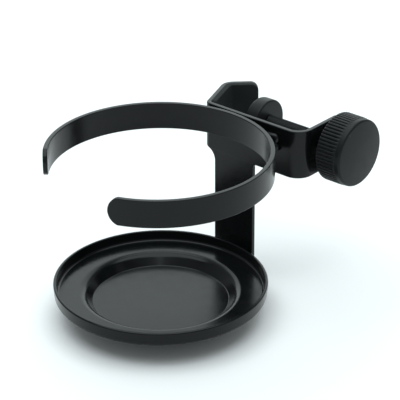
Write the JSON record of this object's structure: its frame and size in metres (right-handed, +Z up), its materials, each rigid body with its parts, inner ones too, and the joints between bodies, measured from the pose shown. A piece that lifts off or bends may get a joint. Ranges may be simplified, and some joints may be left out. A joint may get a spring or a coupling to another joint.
{
  "type": "clamp-on cup holder",
  "caption": "Black steel cup holder with an open ring over a round dish and a V-jaw screw clamp that grips a tube or table leg.",
  "frame": {"origin": "centre of the tube that the jaw holds in the rest pose, on the clamp screw's axis", "axes": "+Z up along the held tube; +X along the clamp screw, from the V jaw to the knob; -Y towards the cup ring and dish"},
  "size_m": [0.0893, 0.1124, 0.0723],
  "materials": {
    "powder_coat": "semi-gloss black powder coat",
    "dish_plastic": "semi-gloss black moulding with a fine-grained floor",
    "knob_plastic": "satin black moulding",
    "black_steel": "black zinc plate",
    "rubber": "matte black rubber"
  },
  "bodies": {
    "holder": {"clamp_bracket": "powder_coat", "cup_ring": "powder_coat", "ring_weld_left": "powder_coat", "ring_weld_right": "powder_coat", "dish": "dish_plastic", "dish_screw_left": "black_steel", "dish_screw_right": "black_steel", "jaw_liner": "rubber", "flange_nut": "black_steel"},
    "pad": {"pressure_pad": "knob_plastic", "pad_clip": "black_steel"},
    "clamp_screw": {"clamp_bolt": "black_steel", "knob_shell": "knob_plastic", "knob_cap": "knob_plastic"}
  },
  "joints": [
    {"name": "pad_travel", "type": "slide", "parent": "holder", "child": "pad", "axis": [1, 0, 0], "range_m": [-0.0035, 0.023]},
    {"name": "knob_turn", "type": "hinge", "parent": "pad", "child": "clamp_screw", "pos_m": [0, 0, 0], "axis": [1, 0, 0], "range_deg": [-1260, 8280]}
  ],
  "couplings": [
    {"joint": "pad_travel", "follows": "knob_turn", "m_per_rad": 0.00015915}
  ]
}
